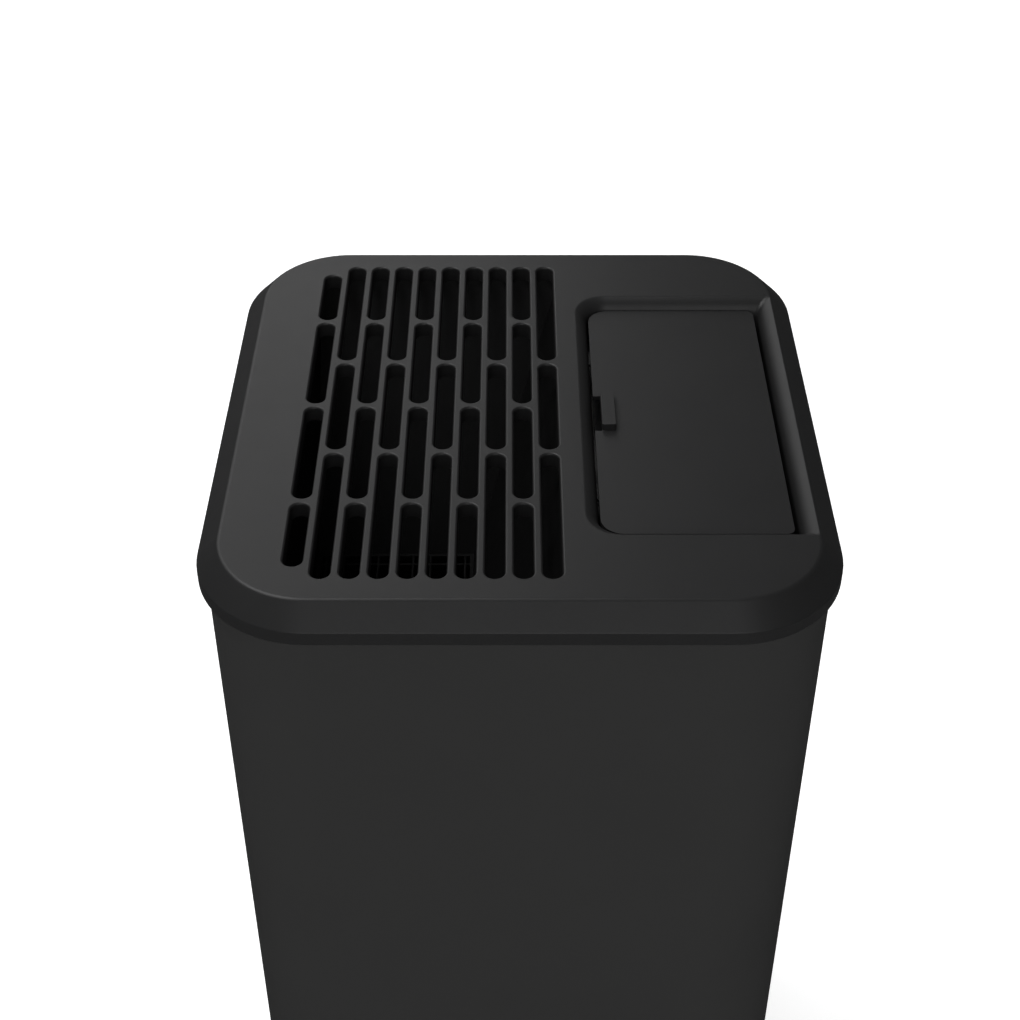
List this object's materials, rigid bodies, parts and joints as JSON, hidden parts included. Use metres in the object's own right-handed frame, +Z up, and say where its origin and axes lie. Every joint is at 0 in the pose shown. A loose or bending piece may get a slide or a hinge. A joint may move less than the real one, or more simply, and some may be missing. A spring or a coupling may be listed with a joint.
{
  "type": "air purifier",
  "caption": "Square tower air purifier with slotted top outlet, hinged control flap and rear filter door.",
  "frame": {"origin": "middle of the floor area under the tower, on the floor", "axes": "+Z up, front faces -Y, control flap on the +X side, filter door at the rear, +Y"},
  "size_m": [0.3, 0.315, 0.6],
  "materials": {
    "lid_plastic": "fine matt moulded grain",
    "body_paint": "matt powder coat",
    "door_plastic": "fine matt moulded grain",
    "inner_plastic": "plain moulded",
    "panel_plastic": "satin",
    "button_plastic": "satin",
    "display_smoke": "polished smoked lens",
    "light_pipe": "frosted clear",
    "circuit_board": "solder mask",
    "component_black": "moulded",
    "screw_steel": "zinc plated",
    "zinc_sheet": "galvanised sheet",
    "magnet_steel": "nickel plated",
    "foot_rubber": "moulded",
    "seal_foam": "closed-cell foam",
    "filter_card": "plain moulded",
    "filter_paper": "glass-fibre paper",
    "carbon_felt": "carbon felt",
    "mesh_cloth": "nylon mesh",
    "strap_webbing": "webbing",
    "fan_plastic": "glass-filled nylon",
    "motor_steel": "zinc plated can",
    "winding_copper": "enamelled copper and lamination",
    "lead_jacket": "PVC jacket",
    "inlet_plastic": "moulded"
  },
  "bodies": {
    "housing": {"top_cover": "lid_plastic", "flap_hinge_rod": "screw_steel", "control_panel": "panel_plastic", "button_switches": "component_black", "display_lens": "display_smoke", "display_module": "component_black", "indicator_lenses": "light_pipe", "control_board": "circuit_board", "control_tray": "inner_plastic", "panel_screws": "screw_steel", "body_shell": "body_paint", "base_pan": "inner_plastic", "rubber_feet": "foot_rubber", "chassis_rail_left": "zinc_sheet", "chassis_rail_right": "zinc_sheet", "rail_screws": "screw_steel", "filter_housing": "door_plastic", "filter_seat": "door_plastic", "door_hinge_pins": "screw_steel", "striker_plates": "zinc_sheet", "filter_frame": "filter_card", "prefilter_frame": "filter_card", "prefilter_mesh": "mesh_cloth", "carbon_mat": "carbon_felt", "filter_media": "filter_paper", "filter_seal": "seal_foam", "pull_strap": "strap_webbing", "scroll_front": "inner_plastic", "scroll_rear": "inner_plastic", "scroll_screws": "screw_steel", "blower_screws": "screw_steel", "inlet_ring": "inner_plastic", "motor_housing": "motor_steel", "axle_bearings": "magnet_steel", "motor_stator": "winding_copper", "motor_mounts": "foot_rubber", "outlet_duct": "inner_plastic", "outlet_guard": "inner_plastic", "power_board": "circuit_board", "power_components": "component_black", "power_cover": "inner_plastic", "mains_inlet": "inlet_plastic", "mains_pins": "winding_copper", "control_lead": "lead_jacket", "motor_lead": "lead_jacket", "mains_lead": "lead_jacket"},
    "flap": {"control_flap": "lid_plastic"},
    "filter_door": {"rear_door": "door_plastic", "door_grille": "door_plastic", "door_grip": "door_plastic", "door_magnets": "magnet_steel"},
    "fan_rotor": {"impeller": "fan_plastic", "motor_shaft": "screw_steel", "motor_rotor": "motor_steel"},
    "power_button_cap": {"power_button": "button_plastic"},
    "fan_down_button_cap": {"fan_down_button": "button_plastic"},
    "fan_up_button_cap": {"fan_up_button": "button_plastic"},
    "timer_button_cap": {"timer_button": "button_plastic"},
    "night_button_cap": {"night_button": "button_plastic"},
    "filter_reset_button_cap": {"filter_reset_button": "button_plastic"}
  },
  "joints": [
    {"name": "flap_hinge", "type": "hinge", "parent": "housing", "child": "flap", "pos_m": [0.1247, 0, 0.5902], "axis": [0, 1, 0], "range_deg": [0, 95]},
    {"name": "door_hinge", "type": "hinge", "parent": "housing", "child": "filter_door", "pos_m": [-0.0895, 0.1485, 0.255], "axis": [0, 0, 1], "range_deg": [0, 90]},
    {"name": "fan_spin", "type": "hinge", "parent": "housing", "child": "fan_rotor", "pos_m": [0.014, 0.002, 0.255], "axis": [0, 1, 0], "continuous": true},
    {"name": "power_button_press", "type": "slide", "parent": "housing", "child": "power_button_cap", "axis": [0, 0, -1], "range_m": [0, 0.001], "stiffness_N_per_m": 900, "springref_m": -0.001},
    {"name": "fan_down_button_press", "type": "slide", "parent": "housing", "child": "fan_down_button_cap", "axis": [0, 0, -1], "range_m": [0, 0.001], "stiffness_N_per_m": 900, "springref_m": -0.001},
    {"name": "fan_up_button_press", "type": "slide", "parent": "housing", "child": "fan_up_button_cap", "axis": [0, 0, -1], "range_m": [0, 0.001], "stiffness_N_per_m": 900, "springref_m": -0.001},
    {"name": "timer_button_press", "type": "slide", "parent": "housing", "child": "timer_button_cap", "axis": [0, 0, -1], "range_m": [0, 0.001], "stiffness_N_per_m": 900, "springref_m": -0.001},
    {"name": "night_button_press", "type": "slide", "parent": "housing", "child": "night_button_cap", "axis": [0, 0, -1], "range_m": [0, 0.001], "stiffness_N_per_m": 900, "springref_m": -0.001},
    {"name": "filter_reset_button_press", "type": "slide", "parent": "housing", "child": "filter_reset_button_cap", "axis": [0, 0, -1], "range_m": [0, 0.001], "stiffness_N_per_m": 900, "springref_m": -0.001}
  ]
}
